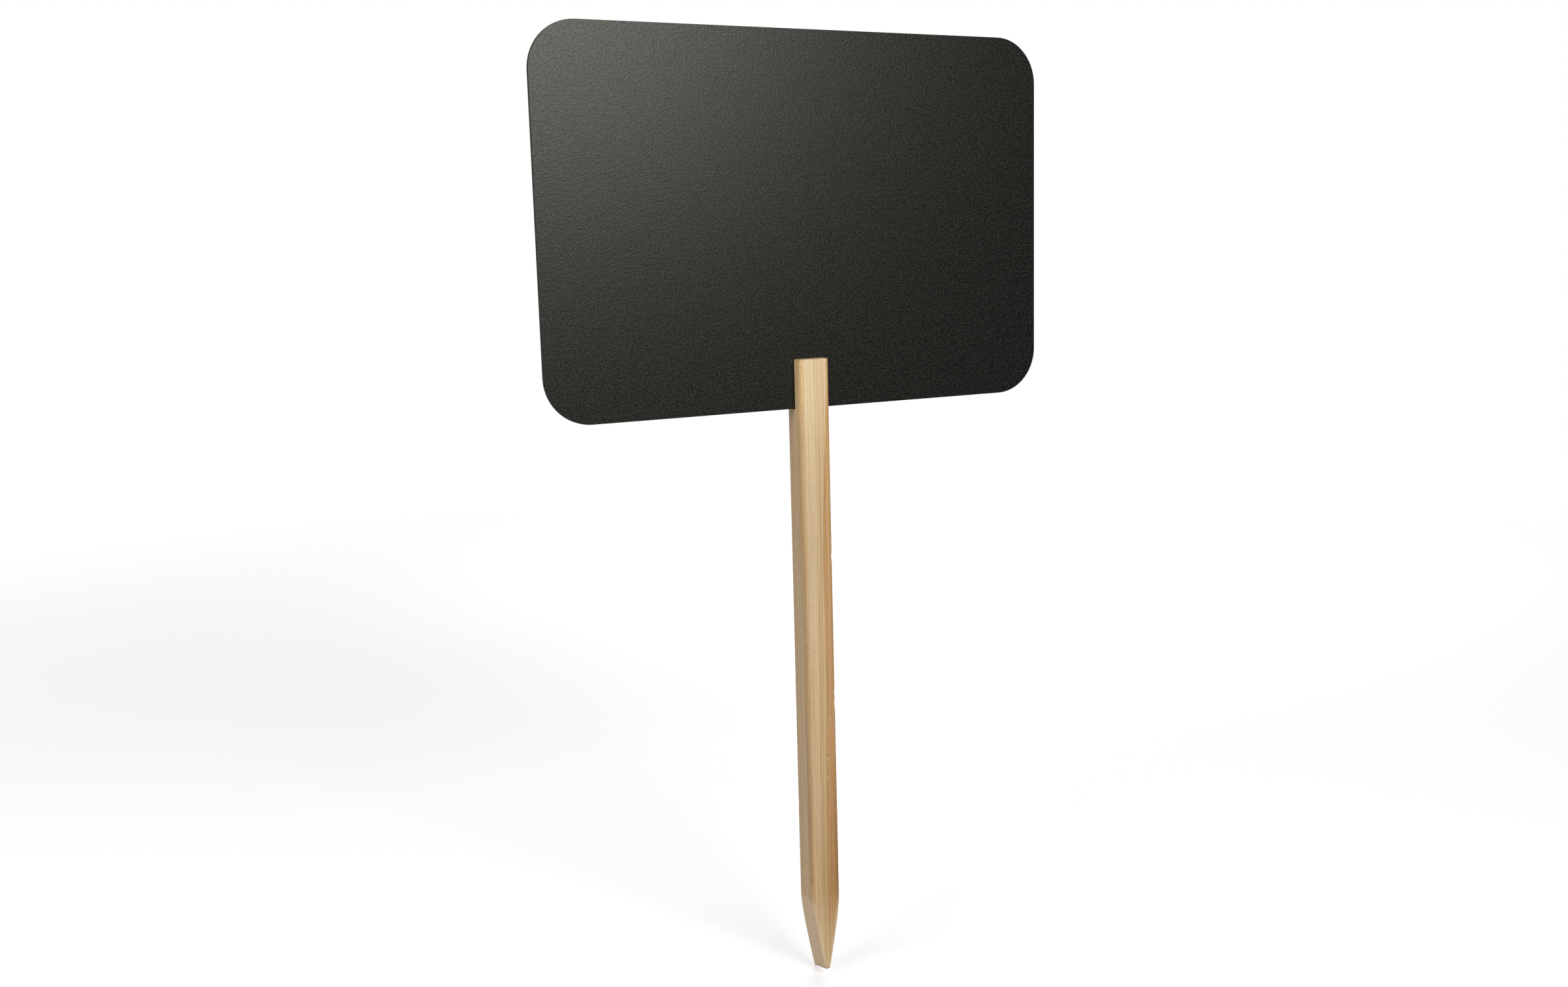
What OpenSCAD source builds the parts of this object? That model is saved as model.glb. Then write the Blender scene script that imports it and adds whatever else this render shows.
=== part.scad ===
// Garden label stake: a double-sided chalkboard with rounded corners, standing in a saw kerf
// cut down into the head of a sharpened softwood stake.
// +Z runs up the stake, the writing side that faces the reader looks along -Y,
// and the origin is on the stake's middle line, level with its lowest point.

/* [Board] */
// Width of the board
board_w = 300; // [120:1:600]
// Height of the board
board_h = 200; // [80:1:400]
// Radius of the board's corners
board_corner_r = 25; // [4:0.5:38]
// Thickness of the dark core
core_t = 1.7; // [0.8:0.1:4]
// Thickness of each chalk sheet
sheet_t = 0.25; // [0.1:0.05:0.8]
// How far each chalk sheet stops short of the core's edge
sheet_setback = 0.15; // [0.05:0.05:1]

/* [Stake] */
// Width of the stake, seen from the front
stake_w = 18; // [12:0.5:40]
// Depth of the stake, front to back
stake_d = 16; // [12:0.5:30]
// Length of the stake, from its lowest point to the tops of its tongues
stake_len = 355; // [200:1:900]
// Radius that eases the four long arrises
arris_r = 2.2; // [0.5:0.1:4]

/* [Kerf] */
// Depth of the kerf, from the tops of the tongues to its floor
kerf_depth = 27; // [12:1:60]
// Gap between the board and each wall of the kerf
kerf_gap = 0.1; // [0.05:0.05:0.4]
// Radius of the tongues' top corners, seen from the front
tongue_corner_r = 1.2; // [0.4:0.1:4]
// Radius that eases the outer top edge of each tongue, seen from the side
tongue_edge_r = 0.6; // [0.2:0.1:1]

/* [Point] */
// Height over which the two sides are cut in to the point
point_h = 48; // [25:1:90]
// Width of the blunt end at its lowest edge
point_end_w = 0.8; // [0.6:0.2:6]
// How far each cut side bellies out at the middle of its length
point_belly = 0.5; // [0.2:0.1:1.5]
// Fall of the blunt end towards the back, in degrees
point_end_fall = 15; // [0:1:25]

/* [Hidden] */
$fn = 96;
// Overrun of every cut past the face that it breaks through
over = 1;

board_t = core_t + 2 * sheet_t;
kerf_w = board_t + 2 * kerf_gap;
kerf_floor_z = stake_len - kerf_depth;
board_mid_z = kerf_floor_z + board_h / 2;

// The cut sides of the point are arcs: each runs from the end's corner up to the stake's full width
point_run = (stake_w - point_end_w) / 2;
point_chord = sqrt(point_run * point_run + point_h * point_h);
belly_r = point_chord * point_chord / (8 * point_belly) + point_belly / 2;
belly_back = belly_r - point_belly;
point_lean = atan(point_run / point_h);
end_rise = stake_d * tan(point_end_fall);

// Flat outline with four round corners, centred
module rounded_rect(w, h, r) {
    square([w - 2 * r, h], center = true);
    square([w, h - 2 * r], center = true);
    for (x = [-1, 1], y = [-1, 1]) {
        translate([x * (w / 2 - r), y * (h / 2 - r)]) circle(r = r);
    }
}

// Stands a flat outline up in the XZ plane, as thick as t and centred on Y
module upright(t) {
    rotate([90, 0, 0]) linear_extrude(height = t, center = true) children();
}

// Outline with round top corners and square lower ones, standing on the X axis
module round_topped(w, h, r) {
    translate([-w / 2, 0]) square([w, h - r]);
    translate([-w / 2 + r, 0]) square([w - 2 * r, h]);
    for (side = [-1, 1]) {
        translate([side * (w / 2 - r), h - r]) circle(r = r);
    }
}

// One half of the point's outline: all that lies inside the arc of its right-hand cut
module inside_right_cut() {
    translate([point_end_w / 2, 0]) rotate(-point_lean)
        translate([-belly_back, point_chord / 2]) circle(r = belly_r, $fn = 360);
}

// The stake seen from the front: straight sides, round tongue corners and the two cut sides
module stake_front_outline() {
    above_point = stake_len - point_h;
    translate([0, point_h]) round_topped(stake_w, above_point, tongue_corner_r);
    intersection() {
        translate([-stake_w / 2, 0]) square([stake_w, point_h]);
        inside_right_cut();
        mirror([1, 0]) inside_right_cut();
    }
}

// The stake seen from the side: eased tops, and a blunt end that falls towards the back
module stake_side_outline() {
    difference() {
        round_topped(stake_d, stake_len, tongue_edge_r);
        polygon([
            [-stake_d / 2 - over, end_rise + over * tan(point_end_fall)],
            [stake_d / 2, 0],
            [stake_d / 2, -over],
            [-stake_d / 2 - over, -over]
        ]);
    }
}

// Slot that the saw leaves in the head, open at the top and at both sides
module kerf() {
    translate([-stake_w / 2 - over, -kerf_w / 2, kerf_floor_z])
        cube([stake_w + 2 * over, kerf_w, kerf_depth + over]);
}

// Sharpened softwood stake with its two tongues
module stake() {
    color([0.80, 0.66, 0.46]) difference() {
        intersection() {
            linear_extrude(height = stake_len) rounded_rect(stake_w, stake_d, arris_r);
            upright(stake_d) stake_front_outline();
            rotate([0, 0, 90]) upright(stake_w) stake_side_outline();
        }
        kerf();
    }
}

// Dark core of the board, whose bottom edge stands on the floor of the kerf
module board_core() {
    color([0.20, 0.17, 0.15]) translate([0, 0, board_mid_z])
        upright(core_t) rounded_rect(board_w, board_h, board_corner_r);
}

// Chalk sheet bonded to one side of the core: side is -1 for the front and 1 for the rear
module chalk_sheet(side) {
    color([0.26, 0.26, 0.24]) translate([0, side * (core_t + sheet_t) / 2, board_mid_z])
        upright(sheet_t) rounded_rect(
            board_w - 2 * sheet_setback,
            board_h - 2 * sheet_setback,
            board_corner_r - sheet_setback
        );
}

module front_chalk_sheet() {
    chalk_sheet(-1);
}

module rear_chalk_sheet() {
    chalk_sheet(1);
}

stake();
board_core();
front_chalk_sheet();
rear_chalk_sheet();
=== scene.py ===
"""Garden label stake: a chalkboard with round corners in the saw kerf of a sharpened softwood stake."""

import math

import bmesh
import bpy
from mathutils import Matrix, Vector, noise


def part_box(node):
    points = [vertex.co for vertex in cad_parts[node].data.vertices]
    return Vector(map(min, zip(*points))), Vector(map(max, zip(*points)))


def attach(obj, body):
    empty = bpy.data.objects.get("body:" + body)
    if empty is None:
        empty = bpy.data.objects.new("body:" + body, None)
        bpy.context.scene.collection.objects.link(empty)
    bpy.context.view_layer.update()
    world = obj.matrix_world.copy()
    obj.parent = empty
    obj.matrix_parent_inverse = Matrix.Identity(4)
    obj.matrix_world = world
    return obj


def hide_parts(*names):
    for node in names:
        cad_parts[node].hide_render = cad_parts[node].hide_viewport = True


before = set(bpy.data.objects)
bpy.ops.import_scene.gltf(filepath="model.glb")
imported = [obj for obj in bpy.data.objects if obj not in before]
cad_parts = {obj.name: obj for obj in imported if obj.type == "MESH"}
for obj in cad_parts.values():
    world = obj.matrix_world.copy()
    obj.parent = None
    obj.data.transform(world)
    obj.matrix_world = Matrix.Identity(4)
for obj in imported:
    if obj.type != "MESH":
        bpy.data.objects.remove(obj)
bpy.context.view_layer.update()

MM = 0.001
WHITE = (1.0, 1.0, 1.0, 1.0)

# Camera, to the left of the stake and looking a little down: metres and degrees, lens and sensor in mm
CAMERA_PLACE = (-0.3884, -0.7393, 0.4154)
CAMERA_AZIMUTH = 26.71
CAMERA_PITCH = -9.16
CAMERA_ROLL = -1.504
CAMERA_LENS = 35.18
CAMERA_SENSOR = 36.0

# Lamps, in metres: where they all aim, and the place, side and radiance of each square
AIM = (0.0, 0.0, 0.33)
LAMPS = {
    "key": {"place": (0.14, -1.14, 0.87), "size": 0.635, "radiance": 10.90},
    "left": {"place": (-1.36, -0.33, 1.05), "size": 0.90, "radiance": 5.2},
    "back": {"place": (1.00, 1.30, 0.90), "size": 1.20, "radiance": 5.0},
}

# Room: its light, and the directions, by their y, over which the white backdrop behind the object sets in
ROOM_LEVEL = 0.05
BACKDROP_EDGE = (0.1, 0.5)

# Floor, in metres. The camera sees its paint and a glow, which differs from left to right and makes it white
# where no shadow falls. Far from the object and near its front edge the camera sees plain white.
FLOOR_REACH = 12.0
FLOOR_FRONT = -0.6
FLOOR_WHITE_FAR = (0.7, 1.8)
FLOOR_WHITE_FRONT = (0.25, 0.5)
FLOOR_PAINT = (0.80, 0.80, 0.80, 1.0)
FLOOR_PAINT_SEEN = (0.60, 0.60, 0.60, 1.0)
FLOOR_GLOW = (-0.8, 0.05, 0.59, 0.485)

# Stake, in mm and as in the CAD model: half its width and depth, its point, and the slope of its blunt end
HALF_WIDTH = 9.0
HALF_DEPTH = 8.0
POINT_HEIGHT = 48.0
POINT_HALF_END = 0.4
POINT_BELLY = 0.5
END_SLOPE = math.tan(math.radians(15.0))

# Stake's mesh, in mm: how finely it is cut along x, y and z, how far its sharp edges are rounded, and the
# shortest edge that is kept
CELLS = (0.9, 0.9, 1.3)
EDGE_ROUND = 0.30
SHORTEST = 0.03

# What counts as one point, in metres, and as a sharp edge and a flat one, in radians
SAME_POINT = 1e-7
SHARP = math.radians(20.0)
FLAT = 0.008

# Wear: its greatest depth in mm, and its waves to a mm
FACE_WEAR = {"depth": 0.03, "waves": 0.35}
EDGE_WEAR = {"depth": 0.10, "waves": 0.6, "shift": (9.0, 4.0, 2.0)}

# Dents fall off like a bell, and end where the square of the distance, in sizes of the flaw, is this large
DENT_FALL = 1.5
DENT_REACH = 6.0

# A smooth change of strength is written as a rise: the range over which what it follows counts, then the
# strength below and above that range, which is 0 and 1 where none is given. Lengths are in mm.

# Growth rings: the pith lies outside the stake, in front of it and to the right, and wanders up the stake.
# Inner rings lean outwards lower down.
PITH = (26.0, -30.0)
PITH_WANDER = 0.8
RING_WIDTH = 1.3
RING_SPREAD = 3.4
RING_SPREAD_WAVES = 0.42
RING_WOBBLE = 0.7
LEAN_BY_HEIGHT = (50.0, 215.0, 1.0, 0.0)
LEAN_BY_RADIUS = (31.0, 41.0, 2.4, 0.0)

# Late wood: over the phase of a ring, each ring's own strength, up the stake, and where it fades
LATE_START = (0.50, 0.86)
LATE_END = (0.90, 1.0, 1.0, 0.0)
LATE_OWN = (0.05, 0.9, 0.1, 0.6)
LATE_BY_HEIGHT = (285.0, 340.0, 1.0, 0.6)
LATE_FADE = (0.3, 0.65, 0.35, 1.0)
LATE_ON_CUT = 0.8

# Strong rings: the age and strength of each, how its line rises to that strength, and how it ends
STRONG_RINGS = (
    (28.9, 0.5), (30.8, 0.8), (33.1, 0.8), (34.4, 0.7), (36.6, 0.4), (37.9, 0.6), (39.6, 0.4),
    (41.2, 0.8), (43.1, 0.5), (45.8, 0.6), (48.2, 0.7), (49.9, 0.5), (51.3, 0.4),
)
STRONG_START = (-0.7, -0.05, 0.0)
STRONG_END = (0.0, 0.3, 1.0, 0.0)

# How the edges of the outer, middle and heart bands shift up the stake
OUTER_SHIFT = (215.0, 265.0, 0.0, 2.2)
MIDDLE_SHIFT = (30.0, 70.0, 1.8, 0.0)
HEART_EDGE = (240.0, 360.0, 31.6, 28.6)

# Other places on the wood, and how far the upper edge of the cut sides runs in and out
BLOTCHY_AGE = 40.6
GRIME_Y = -6.7
CREASE_INSET = 0.7
CUT_RAGGED = 8.0

# Noises of the wood: cells to a mm along x, y and z, shift in cells, octaves above the first, and their share
PINE_NOISES = {
    "wander": ((0.03, 0.03, 0.008), (0.0, 0.0, 0.0), 1.0, 0.5),
    "wobble": ((0.25, 0.25, 0.06), (6.0, 1.0, 9.0), 2.0, 0.5),
    "fade": ((0.5, 0.5, 0.02), (3.0, 8.0, 5.0), 1.0, 0.5),
    "patch": ((0.35, 0.35, 0.012), (1.0, 4.0, 2.0), 2.0, 0.5),
    "streak": ((1.3, 1.3, 0.010), (5.0, 2.0, 7.0), 2.0, 0.6),
    "fibre": ((4.0, 4.0, 0.04), (0.0, 0.0, 0.0), 3.0, 0.6),
    "mottle": ((1.7, 1.7, 0.9), (2.0, 9.0, 4.0), 1.0, 0.5),
    "pit": ((3.4, 3.4, 0.30), (0.0, 0.0, 0.0), 0.0, 0.5),
    "ragged": ((0.45, 0.45, 0.12), (0.0, 0.0, 0.0), 1.0, 0.5),
}

# Colours of the wood
TONES = {
    "outer": (0.660, 0.498, 0.312, 1.0),
    "corner": (0.660, 0.476, 0.255, 1.0),
    "gold": (0.790, 0.560, 0.270, 1.0),
    "pale": (0.800, 0.640, 0.400, 1.0),
    "middle": (0.735, 0.555, 0.320, 1.0),
    "heart": (0.655, 0.425, 0.195, 1.0),
    "rust": (0.420, 0.220, 0.074, 1.0),
    "cut": (0.660, 0.498, 0.338, 1.0),
    "cut_line": (0.480, 0.335, 0.205, 1.0),
    "torn": (0.800, 0.680, 0.490, 1.0),
    "bruise": (0.240, 0.120, 0.055, 1.0),
}

# Shades that the colours are multiplied by
SHADES = {
    "low": (0.880, 0.820, 0.780, 1.0),
    "below": (0.880, 0.870, 0.850, 1.0),
    "inner": (0.880, 0.840, 0.780, 1.0),
    "seam": (0.870, 0.680, 0.480, 1.0),
    "rosy": (0.970, 0.920, 0.950, 1.0),
    "streak": (0.880, 0.850, 0.800, 1.0),
    "late": (0.660, 0.580, 0.470, 1.0),
    "fibre": (0.910, 0.890, 0.860, 1.0),
    "pit": (0.620, 0.500, 0.400, 1.0),
    # Dirt along the front left corner, and painted shade on the rim of the blunt end
    "grime": (0.620, 0.520, 0.430, 1.0),
    "end": (0.780, 0.720, 0.660, 1.0),
}

# Layers of the wood, each a tone or shade with its rises, which are multiplied. Every rise first names what
# it follows. These follow the rings and the height, and lie over the corner's tone.
BANDS = (
    ("outer", ("outer_radius", 41.0, 43.5)),
    # Gold on the tongue's left corner: partly the wood's golden band, partly painted light that brightens the
    # rounded corner where it turns from the lamp
    ("gold", ("z", 318.0, 335.0, 0.0, 0.6), ("radius", 43.5, 45.0, 1.0, 0.0)),
    # Pale band down the front: partly paler wood, partly a painted highlight for the key lamp's sheen on a
    # slightly crowned front face
    ("pale", ("age", 38.7, 40.5, 1.0, 0.0)),
    ("middle", ("middle_age", 33.9, 36.3, 1.0, 0.0), ("z", 295.0, 345.0, 1.0, 0.3)),
    ("heart", ("past_heart", -0.9, 0.5, 1.0, 0.0), ("z", 20.0, 55.0, 0.4, 1.0)),
    ("rust", ("radius", 29.2, 31.0, 1.0, 0.0), ("z", 90.0, 150.0, 0.6, 0.0), ("z", 25.0, 60.0)),
    # Darker and warmer lower down on the front: partly the wood's warmer tone, partly painted shade for light
    # that falls off towards the bottom
    ("low", ("radius", 42.0, 44.0, 1.0, 0.0), ("z", 20.0, 340.0, 1.0, 0.0), ("z", 5.0, 60.0, 0.1, 1.0)),
    # Painted shade: the stake darker below about 250 mm and lighter towards its head, as if the head were
    # nearer the lamp
    ("below", ("z", 245.0, 345.0, 1.0, 0.0), ("radius", 42.0, 44.0, 1.0, 0.7)),
    ("inner", ("radius", 38.0, 39.5, 1.0, 0.0), ("z", 40.0, 130.0, 1.0, 0.0), ("z", 15.0, 55.0, 0.2, 1.0)),
    ("seam", ("from_heart", 0.1, 0.8, 0.9, 0.0), ("z", 150.0, 260.0)),
)

# Patches, streaks and specks along the grain, and grime along the front left corner, low down
GRAIN = (
    ("rosy", ("patch", 0.35, 0.62, 0.0, 0.55)),
    ("streak", ("streak", 0.35, 0.65, 0.75, 0.0)),
    ("late", ("late",)),
    ("fibre", ("fibre", 0.34, 0.66, 0.9, 0.0)),
    ("fibre", ("mottle", 0.35, 0.65, 1.0, 0.0), ("from_blotchy", 0.8, 2.2, 1.0, 0.5)),
    ("pit", ("pit", 0.76, 0.84, 0.0, 0.7)),
    (
        "grime",
        ("from_grime", 0.3, 1.3, 1.0, 0.0), ("x", -8.7, -7.6, 1.0, 0.0),
        ("z", 90.0, 200.0, 0.45, 0.10), ("z", 45.0, 75.0),
    ),
)

# Newly cut wood of the point, laid over the tone of a cut. It shows on the cut sides and round their edges.
FRESH = (
    ("cut_line", ("late_on_cut",)),
    ("fibre", ("fibre", 0.34, 0.66, 0.9, 0.0)),
    ("fibre", ("mottle", 0.35, 0.65, 0.8, 0.0)),
)
CUT_SIDES = (("facing_side", 0.80, 0.95), ("ragged_z", 48.0, 53.0, 1.0, 0.0))
CUT_EDGES = (("inset", 0.2, 2.4, 0.75, 0.0), ("z", 40.0, 50.0, 1.0, 0.0))

# The crease beside each cut side, the end grain, and painted shade along the rim of the blunt end, whose
# rounded underside turns from the light
ENDS = (
    (
        "cut_line",
        ("from_crease", 0.0, 1.0, 0.45, 0.0), ("z", 40.0, 50.0, 1.0, 0.0), ("z", 15.0, 38.0, 0.2, 1.0),
    ),
    ("end", ("facing_up", 0.45, 0.75, 0.0, 0.8)),
    # Painted shade: the last mm above the blunt end darkened as if its rounded rim lay in shadow
    ("grime", ("above_end", 0.2, 1.1, 0.9, 0.0), ("above_end", -0.6, -0.3)),
)

# Flaws of the wood: place and size in mm, how deep each dents the surface, and its tone
FLAWS = (
    {"at": (-2.8, -8.0, 309.0), "size": (0.7, 0.8, 1.6), "depth": 0.12, "tone": "torn"},
    {"at": (8.5, -7.2, 281.0), "size": (0.8, 0.9, 1.0), "depth": 0.35, "tone": "bruise"},
    {"at": (8.2, -7.8, 248.0), "size": (0.6, 0.8, 1.1), "depth": 0.10, "tone": "torn"},
    {"at": (9.0, -6.8, 245.0), "size": (1.4, 1.5, 2.0), "depth": 0.40, "tone": "heart"},
    {"at": (9.0, -6.8, 167.0), "size": (1.3, 1.4, 1.6), "depth": 0.35, "tone": "heart"},
    {"at": (9.0, -6.8, 161.0), "size": (1.3, 1.4, 2.4), "depth": 0.45, "tone": "heart"},
    {"at": (4.8, -8.0, 152.5), "size": (0.8, 0.8, 2.1), "depth": 0.12, "tone": "torn"},
    {"at": (3.5, -8.0, 129.5), "size": (1.0, 0.8, 1.5), "depth": 0.12, "tone": "torn"},
    {"at": (3.2, -8.0, 132.0), "size": (0.8, 0.6, 1.4), "depth": 0.25, "tone": "bruise"},
    {"at": (2.8, -8.0, 117.7), "size": (0.8, 0.8, 2.0), "depth": 0.12, "tone": "torn"},
    {"at": (-8.4, -7.4, 117.5), "size": (0.7, 0.8, 2.3), "depth": 0.12, "tone": "torn"},
    {"at": (-8.5, -7.3, 199.0), "size": (0.7, 0.8, 1.2), "depth": 0.12, "tone": "torn"},
    {"at": (-9.0, -6.9, 58.5), "size": (0.9, 1.1, 4.2), "depth": 0.20, "tone": "bruise"},
    {"at": (-9.0, 7.4, 101.0), "size": (1.2, 1.2, 1.6), "depth": 0.30, "tone": "corner"},
)

# A flaw's blot fades out from a fifth of its size to the whole of it. A torn spot is the crescent that is
# left when a like blot, shifted by these shares of the size, is taken away.
BLOT = (0.2, 1.0, 0.7, 0.0)
TORN_SHIFT = (0.32, 0.0, -0.10)

# Relief of the wood: the share of the fibres, of the late wood and of the planer's ripples, and their pitch
FIBRE_RELIEF = 0.7
LATE_RELIEF = 0.5
RIPPLE_RELIEF = 0.05
RIPPLE_PITCH = 1.6

# Finish of each material: depth of its relief in mm, how its roughness follows its own noise, and its gloss
PINE_FINISH = {"relief": 0.05, "rough": (0.2, 0.8, 0.75, 0.62), "ior": 1.4}
CHALK_SHINE = (0.98, 1.0, 0.87, 1.0)
CHALK_FINISH = {"relief": 0.10, "rough": (0.42, 0.58, 0.390, 0.326), "ior": 1.42, "shine": CHALK_SHINE}
CORE_FINISH = {"relief": 0.08, "rough": (0.2, 0.8, 0.75, 0.6), "ior": 1.40}

# Chalk sheets: a noise for the pebbles and one for the specks, where the specks lie, and the two tones
CHALK_PEBBLE = ((0.8, 0.8, 0.8), (0.0, 0.0, 0.0), 2.0, 1.0)
CHALK_SPECK = ((1.0, 1.0, 1.0), (31.0, 17.0, 5.0), 0.0, 0.5)
CHALK_SPECKED = (0.46, 0.58)
CHALK_DARK = (0.0010, 0.0010, 0.0009, 1.0)
CHALK_PALE = (0.0128, 0.0130, 0.0115, 1.0)

# Core: a noise for its fibres and one for its specks, where each lies, and the three tones
CORE_FIBRE = ((1.2, 6.0, 1.2), (0.0, 0.0, 0.0), 3.0, 0.6)
CORE_SPECK = ((3.0, 3.0, 3.0), (0.0, 0.0, 0.0), 1.0, 0.5)
CORE_FIBROUS = (0.3, 0.7)
CORE_SPECKED = (0.66, 0.74, 0.0, 0.5)
CORE_DARK = (0.018, 0.012, 0.009, 1.0)
CORE_BROWN = (0.031, 0.022, 0.017, 1.0)
CORE_PALE = (0.060, 0.046, 0.036, 1.0)


class Graph:
    """A shader tree being written: each method adds nodes and gives back an output."""

    def __init__(self, tree):
        self.tree = tree
        tree.nodes.clear()

    def add(self, kind, inputs=(), **settings):
        """A node with its settings, whose inputs are links or plain values."""
        node = self.tree.nodes.new("ShaderNode" + kind)
        for name, value in settings.items():
            setattr(node, name, value)
        for socket, value in dict(inputs).items():
            if isinstance(value, bpy.types.NodeSocket):
                self.tree.links.new(value, node.inputs[socket])
            else:
                node.inputs[socket].default_value = value
        return node

    def millimetres(self):
        """The place on the object, in mm."""
        place = self.add("TexCoord").outputs["Object"]
        return self.scaled(place, (1.0 / MM, 1.0 / MM, 1.0 / MM))

    def scaled(self, vector, factors):
        return self.add("VectorMath", {0: vector, 1: factors}, operation="MULTIPLY").outputs[0]

    def shifted(self, vector, offset):
        return self.add("VectorMath", {0: vector, 1: offset}, operation="ADD").outputs[0]

    def length(self, vector):
        return self.add("VectorMath", {0: vector}, operation="LENGTH").outputs["Value"]

    def split(self, vector):
        return self.add("SeparateXYZ", {0: vector}).outputs

    def math(self, operation, *values, **settings):
        return self.add("Math", enumerate(values), operation=operation, **settings).outputs[0]

    def minus(self, value, taken):
        return self.math("SUBTRACT", value, taken)

    def apart(self, value, other):
        """How far apart two values are."""
        return self.math("ABSOLUTE", self.minus(value, other))

    def times(self, product, *factors):
        for factor in factors:
            product = self.math("MULTIPLY", product, factor)
        return product

    def swayed(self, value, by, amount):
        """A value that a noise moves up and down by half an amount."""
        return self.math("MULTIPLY_ADD", by, amount, self.minus(value, 0.5 * amount))

    def noise(self, vector, detail, roughness=0.5):
        """Noise whose cells are one unit of the vector wide."""
        inputs = {"Vector": vector, "Scale": 1.0, "Detail": detail, "Roughness": roughness}
        return self.add("TexNoise", inputs).outputs["Fac"]

    def field(self, place, cells, shift, detail, roughness):
        """One of the noises listed above, at a place in mm."""
        return self.noise(self.shifted(self.scaled(place, cells), shift), detail, roughness)

    def rise(self, value, low, high, start=0.0, end=1.0):
        """A smooth change from start, below low, to end, above high."""
        inputs = {0: value, 1: low, 2: high, 3: start, 4: end}
        return self.add("MapRange", inputs, interpolation_type="SMOOTHSTEP").outputs[0]

    def mix(self, factor, first, second, blend="MIX"):
        inputs = {0: factor, 6: first, 7: second}
        return self.add("Mix", inputs, data_type="RGBA", blend_type=blend).outputs[2]

    def finish(self, colour, follows, height, kind):
        """The surface: its colour, the noise that its roughness follows, its height and its finish."""
        bump = {"Height": height, "Distance": kind["relief"] * MM, "Strength": 1.0}
        inputs = {
            "Base Color": colour,
            "Roughness": self.rise(follows, *kind["rough"]),
            "Normal": self.add("Bump", bump).outputs[0],
            "IOR": kind["ior"],
            "Specular Tint": kind.get("shine", WHITE),
        }
        shader = self.add("BsdfPrincipled", inputs)
        self.add("OutputMaterial", {0: shader.outputs[0]})


def new_material(name):
    material = bpy.data.materials.new(name)
    material.use_nodes = True
    return material, Graph(material.node_tree)


# Pine

def ring_radius(g, x, y, wander):
    """Distance from the pith."""
    across = g.minus(x, PITH[0])
    deep = g.minus(y, PITH[1])
    squares = g.math("ADD", g.times(across, across), g.times(deep, deep))
    return g.swayed(g.math("SQRT", squares), wander, PITH_WANDER)


def ring_age(g, z, radius, wobble):
    """The radius that a ring has higher up, where it doesn't lean."""
    lean = g.times(g.rise(z, *LEAN_BY_HEIGHT), g.rise(radius, *LEAN_BY_RADIUS))
    return g.swayed(g.minus(radius, lean), wobble, RING_WOBBLE)


def late_wood(g, z, age, fade):
    """Dark late wood at the outer edge of every ring, and the lines of the strong rings."""
    along_age = g.add("CombineXYZ", {0: g.times(age, RING_SPREAD_WAVES)}).outputs[0]
    ring = g.math("MULTIPLY_ADD", g.noise(along_age, 1.0), RING_SPREAD, age)
    ring = g.math("DIVIDE", ring, RING_WIDTH)
    phase = g.math("FRACT", ring)
    own = g.add("TexWhiteNoise", {"W": g.math("FLOOR", ring)}, noise_dimensions="1D").outputs["Value"]
    late = g.times(g.rise(phase, *LATE_START), g.rise(phase, *LATE_END), g.rise(own, *LATE_OWN))
    for ring_at, strength in STRONG_RINGS:
        past = g.minus(age, ring_at)
        line = g.times(g.rise(past, *STRONG_START, strength), g.rise(past, *STRONG_END))
        late = g.math("MAXIMUM", late, line)
    return g.times(late, g.rise(z, *LATE_BY_HEIGHT), g.rise(fade, *LATE_FADE))


def ring_fields(g, fields):
    """What follows the rings."""
    z = fields["z"]
    radius = ring_radius(g, fields["x"], fields["y"], fields["wander"])
    age = ring_age(g, z, radius, fields["wobble"])
    late = late_wood(g, z, age, fields["fade"])
    past_heart = g.minus(age, g.rise(z, *HEART_EDGE))
    return {
        "radius": radius,
        "age": age,
        "late": late,
        "late_on_cut": g.times(late, LATE_ON_CUT),
        "outer_radius": g.minus(radius, g.rise(z, *OUTER_SHIFT)),
        "middle_age": g.math("ADD", age, g.rise(z, *MIDDLE_SHIFT)),
        "past_heart": past_heart,
        "from_heart": g.math("ABSOLUTE", past_heart),
        "from_blotchy": g.apart(age, BLOTCHY_AGE),
    }


def shape_fields(g, fields):
    """What follows the stake's shape: which way it faces, and places on its corner, point and blunt end."""
    x, y, z = (fields[axis] for axis in "xyz")
    facing = g.split(g.add("TexCoord").outputs["Normal"])
    up = g.math("DIVIDE", z, POINT_HEIGHT, use_clamp=True)
    belly = g.times(g.minus(1.0, up), g.times(up, 4.0 * POINT_BELLY))
    straight = g.math("MULTIPLY_ADD", up, HALF_WIDTH - POINT_HALF_END, POINT_HALF_END)
    inset = g.minus(g.math("ADD", straight, belly), g.math("ABSOLUTE", x))
    return {
        "facing_side": g.math("ABSOLUTE", facing[0]),
        "facing_up": g.math("ABSOLUTE", facing[2]),
        "from_grime": g.apart(y, GRIME_Y),
        "ragged_z": g.math("MULTIPLY_ADD", fields["ragged"], CUT_RAGGED, z),
        "inset": inset,
        "from_crease": g.apart(inset, CREASE_INSET),
        "above_end": g.math("MULTIPLY_ADD", y, END_SLOPE, g.minus(z, HALF_DEPTH * END_SLOPE)),
    }


def pine_fields(g, place):
    """Everything that the layers of the wood follow, by name."""
    fields = {name: g.field(place, *settings) for name, settings in PINE_NOISES.items()}
    fields["x"], fields["y"], fields["z"] = g.split(place)
    fields.update(ring_fields(g, fields))
    fields.update(shape_fields(g, fields))
    return fields


def strength_of(g, fields, rises):
    """The product of some rises; one without numbers is what it follows."""
    factors = []
    for name, *limits in rises:
        factors.append(g.rise(fields[name], *limits) if limits else fields[name])
    return g.times(*factors)


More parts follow.
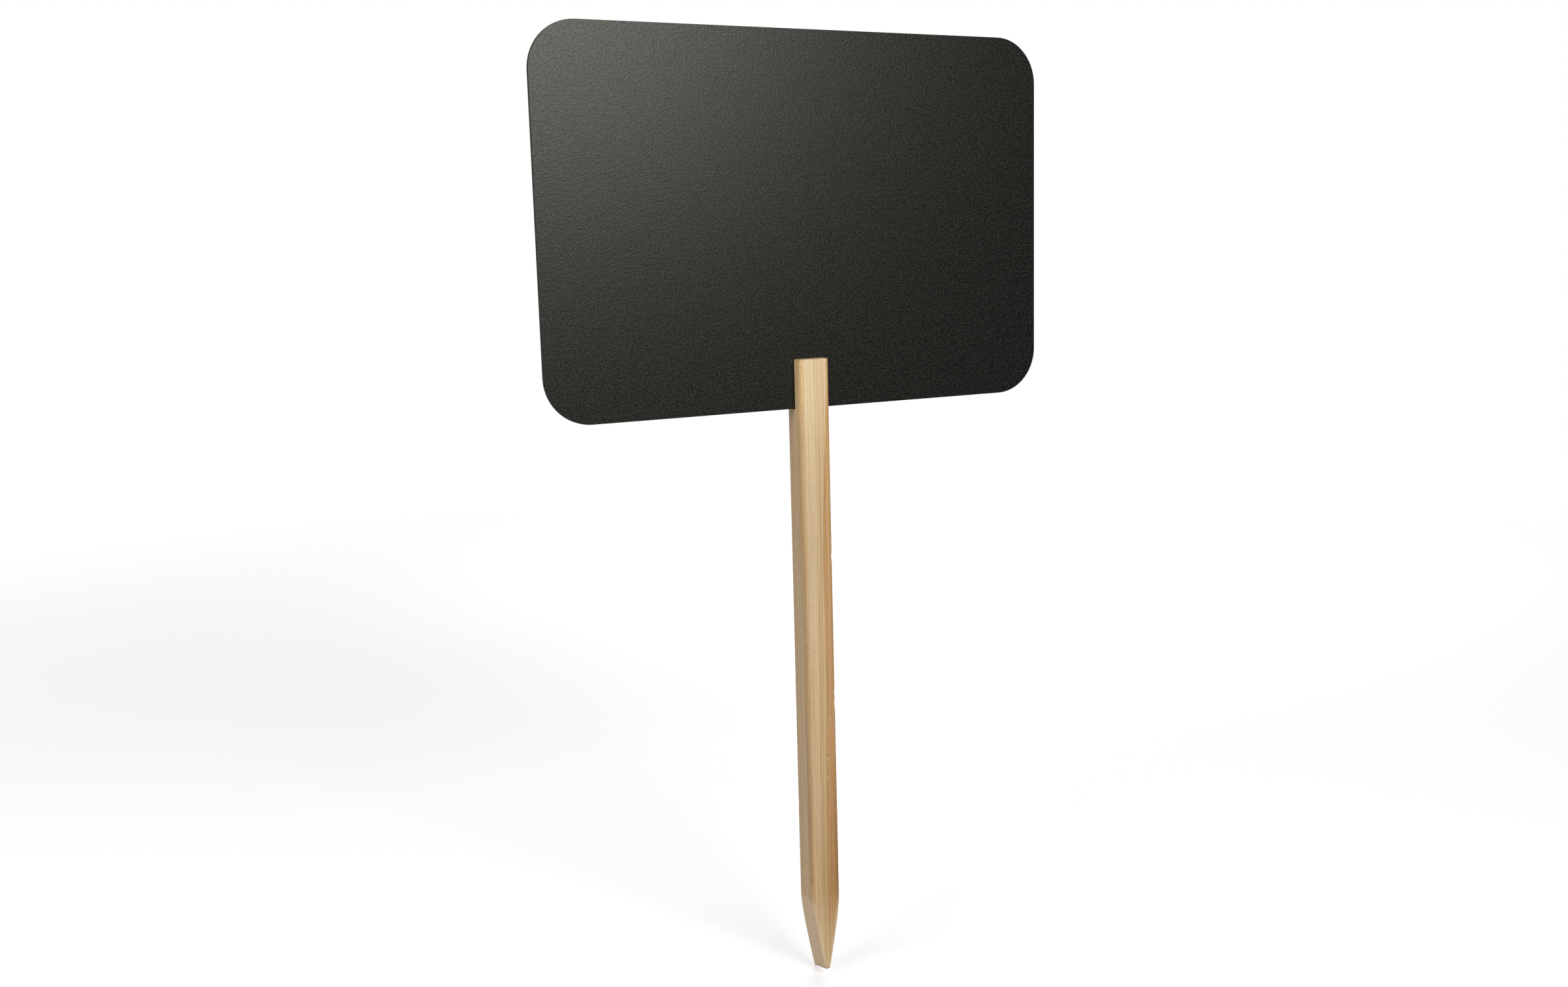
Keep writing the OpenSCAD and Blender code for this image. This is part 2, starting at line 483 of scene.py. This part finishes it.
def layered(g, fields, wood, layers):
    """Lays tones and shades over the wood in turn."""
    for name, *rises in layers:
        strength = strength_of(g, fields, rises)
        if name in TONES:
            wood = g.mix(strength, wood, TONES[name])
        else:
            wood = g.mix(strength, wood, SHADES[name], "MULTIPLY")
    return wood


def blot(g, place, centre, size):
    """A blot with a soft edge."""
    offset = g.shifted(place, tuple(-value for value in centre))
    reach = g.length(g.scaled(offset, tuple(1.0 / value for value in size)))
    return g.rise(reach, *BLOT)


def flawed(g, place, wood):
    """Lays the flaws over the wood."""
    for flaw in FLAWS:
        centre, size = flaw["at"], flaw["size"]
        spot = blot(g, place, centre, size)
        if flaw["tone"] == "torn":
            beside = tuple(centre[i] + TORN_SHIFT[i] * size[i] for i in range(3))
            spot = g.math("SUBTRACT", spot, blot(g, place, beside, size), use_clamp=True)
        wood = g.mix(spot, wood, TONES[flaw["tone"]])
    return wood


def pine_height(g, fields):
    """Relief of the fibres, the late wood and the planer's ripples."""
    ripple = g.math("SINE", g.times(fields["z"], 2.0 * math.pi / RIPPLE_PITCH))
    height = g.times(fields["late"], LATE_RELIEF)
    height = g.math("MULTIPLY_ADD", fields["fibre"], FIBRE_RELIEF, height)
    return g.math("MULTIPLY_ADD", ripple, RIPPLE_RELIEF, height)


def pine():
    """Planed softwood, whose tones follow its growth rings; some layers are painted light and shade."""
    material, g = new_material("pine")
    place = g.millimetres()
    fields = pine_fields(g, place)
    wood = layered(g, fields, TONES["corner"], BANDS + GRAIN)
    fresh = layered(g, fields, TONES["cut"], FRESH)
    cut = g.math("MAXIMUM", strength_of(g, fields, CUT_SIDES), strength_of(g, fields, CUT_EDGES))
    wood = layered(g, fields, g.mix(cut, wood, fresh), ENDS)
    g.finish(flawed(g, place, wood), fields["fibre"], pine_height(g, fields), PINE_FINISH)
    return material


# Board

def chalk():
    """Pebbled, nearly black writing sheet."""
    material, g = new_material("chalk")
    place = g.millimetres()
    pebble = g.field(place, *CHALK_PEBBLE)
    speck = g.field(place, *CHALK_SPECK)
    colour = g.mix(g.rise(speck, *CHALK_SPECKED), CHALK_DARK, CHALK_PALE)
    g.finish(colour, pebble, pebble, CHALK_FINISH)
    return material


def core():
    """Dark brown laminate that shows only along the board's edge."""
    material, g = new_material("core")
    place = g.millimetres()
    fibre = g.field(place, *CORE_FIBRE)
    speck = g.field(place, *CORE_SPECK)
    colour = g.mix(g.rise(fibre, *CORE_FIBROUS), CORE_DARK, CORE_BROWN)
    colour = g.mix(g.rise(speck, *CORE_SPECKED), colour, CORE_PALE)
    g.finish(colour, fibre, fibre, CORE_FINISH)
    return material


# Mesh of the stake

def sharp_angle(vert):
    """The widest angle between two faces that meet at a vertex."""
    normals = [face.normal for face in vert.link_faces]
    return max((a.angle(b, 0.0) for a in normals for b in normals), default=0.0)


def cut_planes(bm, axis, places):
    """Cuts the whole mesh at each place along an axis, without opening it."""
    for place in places:
        point = Vector((0.0, 0.0, 0.0))
        point[axis] = place * MM
        normal = Vector((0.0, 0.0, 0.0))
        normal[axis] = 1.0
        geometry = bm.verts[:] + bm.edges[:] + bm.faces[:]
        bmesh.ops.bisect_plane(bm, geom=geometry, dist=SAME_POINT, plane_co=point, plane_no=normal)


def steps(low, high, cell):
    """Evenly spaced places between two limits, which are left out."""
    count = max(1, round((high - low) / cell))
    return [low + (high - low) * i / count for i in range(1, count)]


def round_and_cut(bm, low, high):
    """Joins the mesh, rounds its sharp edges, and cuts it finely enough to show wear."""
    bmesh.ops.remove_doubles(bm, verts=bm.verts, dist=SAME_POINT)
    bmesh.ops.dissolve_limit(bm, angle_limit=FLAT, verts=bm.verts, edges=bm.edges)
    sharp = [edge for edge in bm.edges if edge.calc_face_angle(0.0) > SHARP]
    bmesh.ops.bevel(bm, geom=sharp, offset=EDGE_ROUND * MM, segments=2, profile=0.5, affect="EDGES")
    for axis, cell in enumerate(CELLS):
        cut_planes(bm, axis, steps(low[axis], high[axis], cell))
    bmesh.ops.dissolve_degenerate(bm, dist=SHORTEST * MM, edges=bm.edges)
    bm.normal_update()


def dent(place):
    """How far the flaws press the surface in at a place, in mm."""
    total = 0.0
    for flaw in FLAWS:
        offset = place - Vector(flaw["at"])
        reach = sum((offset[i] / flaw["size"][i]) ** 2 for i in range(3))
        if reach < DENT_REACH:
            total += flaw["depth"] * math.exp(-DENT_FALL * reach)
    return total


def worn_depth(vert):
    """How far a vertex is pressed in, in mm, by the waves of its face, the flaws and the wear of an edge."""
    place = vert.co / MM
    depth = FACE_WEAR["depth"] * (noise.noise(place * FACE_WEAR["waves"]) * 0.5 + 0.5) + dent(place)
    if sharp_angle(vert) > SHARP:
        wave = noise.noise(place * EDGE_WEAR["waves"] + Vector(EDGE_WEAR["shift"]))
        depth += EDGE_WEAR["depth"] * max(0.0, wave)
    return depth


def stake_timber():
    """The stake with rounded and worn edges, planed faces and dents, all inside its CAD box."""
    low, high = (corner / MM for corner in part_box("stake"))
    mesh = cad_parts["stake"].data.copy()
    bm = bmesh.new()
    bm.from_mesh(mesh)
    round_and_cut(bm, low, high)
    wear = {vert: vert.normal * worn_depth(vert) * MM for vert in bm.verts}
    for vert, move in wear.items():
        for axis in range(3):
            moved = vert.co[axis] - move[axis]
            vert.co[axis] = min(max(moved, low[axis] * MM), high[axis] * MM)
    bm.to_mesh(mesh)
    bm.free()
    mesh.name = "stake_timber"
    return mesh


# Pieces

def link(item):
    bpy.context.scene.collection.objects.link(item)


def add_piece(name, mesh, material, body, nodes):
    """A piece that rides on a body, stands for some CAD nodes and takes its finish from a slot."""
    piece = bpy.data.objects.new(name, mesh)
    link(piece)
    mesh.materials.clear()
    mesh.materials.append(material)
    mesh.shade_smooth()
    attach(piece, body)
    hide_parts(*nodes)


def paint_node(node, material):
    """Gives a better material to a CAD node that stays."""
    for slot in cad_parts[node].material_slots:
        slot.material = material


# Stage

def floor_paint():
    """Pale floor that is plain white to the camera but for the object's soft shadow."""
    material, g = new_material("floor_paint")
    place = g.add("TexCoord").outputs["Object"]
    x, y, _ = g.split(place)
    in_front = g.rise(g.times(y, -1.0), *FLOOR_WHITE_FRONT)
    away = g.math("MAXIMUM", g.rise(g.length(place), *FLOOR_WHITE_FAR), in_front)
    paint = g.add("BsdfDiffuse", {"Color": FLOOR_PAINT}).outputs[0]
    shaded = g.add("BsdfDiffuse", {"Color": FLOOR_PAINT_SEEN}).outputs[0]
    glow = g.add("Emission", {"Color": WHITE, "Strength": g.rise(x, *FLOOR_GLOW)}).outputs[0]
    white = g.add("Emission", {"Color": WHITE, "Strength": 1.0}).outputs[0]
    near = g.add("AddShader", {0: shaded, 1: glow}).outputs[0]
    picture = g.add("MixShader", {0: away, 1: near, 2: white}).outputs[0]
    seen = g.add("LightPath").outputs["Is Camera Ray"]
    surface = g.add("MixShader", {0: seen, 1: paint, 2: picture}).outputs[0]
    g.add("OutputMaterial", {0: surface})
    return material


def add_floor():
    """A flat floor that reaches far behind the object and to both sides."""
    mesh = bpy.data.meshes.new("floor")
    corners = [
        (-FLOOR_REACH, FLOOR_FRONT, 0.0), (FLOOR_REACH, FLOOR_FRONT, 0.0),
        (FLOOR_REACH, FLOOR_REACH, 0.0), (-FLOOR_REACH, FLOOR_REACH, 0.0),
    ]
    mesh.from_pydata(corners, [], [(0, 1, 2, 3)])
    mesh.materials.append(floor_paint())
    floor = bpy.data.objects.new("floor", mesh)
    link(floor)


def add_world():
    """White to the camera; a dim room with a white backdrop behind the object to everything else."""
    world = bpy.data.worlds.new("studio")
    world.use_nodes = True
    g = Graph(world.node_tree)
    direction = g.add("TexCoord").outputs["Generated"]
    behind = g.rise(g.split(direction)[1], *BACKDROP_EDGE)
    path = g.add("LightPath").outputs
    mirror = g.math("MAXIMUM", path["Is Glossy Ray"], path["Is Transmission Ray"])
    backdrop = g.math("MAXIMUM", path["Is Camera Ray"], g.times(mirror, behind))
    room = g.add("Background", {"Color": WHITE, "Strength": ROOM_LEVEL}).outputs[0]
    white = g.add("Background", {"Color": WHITE, "Strength": 1.0}).outputs[0]
    mixed = g.add("MixShader", {0: backdrop, 1: room, 2: white}).outputs[0]
    g.add("OutputWorld", {0: mixed})
    bpy.context.scene.world = world


def add_lamp(name, place, size, radiance):
    """A square lamp that faces the object."""
    light = bpy.data.lights.new(name, "AREA")
    light.shape = "SQUARE"
    light.size = size
    light.energy = radiance * math.pi * size ** 2
    lamp = bpy.data.objects.new(name, light)
    lamp.location = place
    lamp.rotation_euler = (Vector(AIM) - Vector(place)).to_track_quat("-Z", "Y").to_euler()
    link(lamp)


def add_camera():
    """The camera at the photograph's viewing angle."""
    data = bpy.data.cameras.new("camera")
    data.sensor_width = CAMERA_SENSOR
    data.lens = CAMERA_LENS
    camera = bpy.data.objects.new("camera", data)
    turn = Matrix.Rotation(math.radians(-CAMERA_AZIMUTH), 4, "Z")
    tilt = Matrix.Rotation(math.radians(90.0 + CAMERA_PITCH), 4, "X")
    roll = Matrix.Rotation(math.radians(CAMERA_ROLL), 4, "Z")
    camera.matrix_world = Matrix.Translation(CAMERA_PLACE) @ turn @ tilt @ roll
    link(camera)
    bpy.context.scene.camera = camera


# The scene

bpy.context.scene.view_settings.view_transform = "Standard"
add_piece("stake_timber", stake_timber(), pine(), "stake", ["stake"])
sheet_material = chalk()
paint_node("front_chalk_sheet", sheet_material)
paint_node("rear_chalk_sheet", sheet_material)
paint_node("board_core", core())
add_floor()
add_world()
for lamp_name, settings in LAMPS.items():
    add_lamp(lamp_name, **settings)
add_camera()
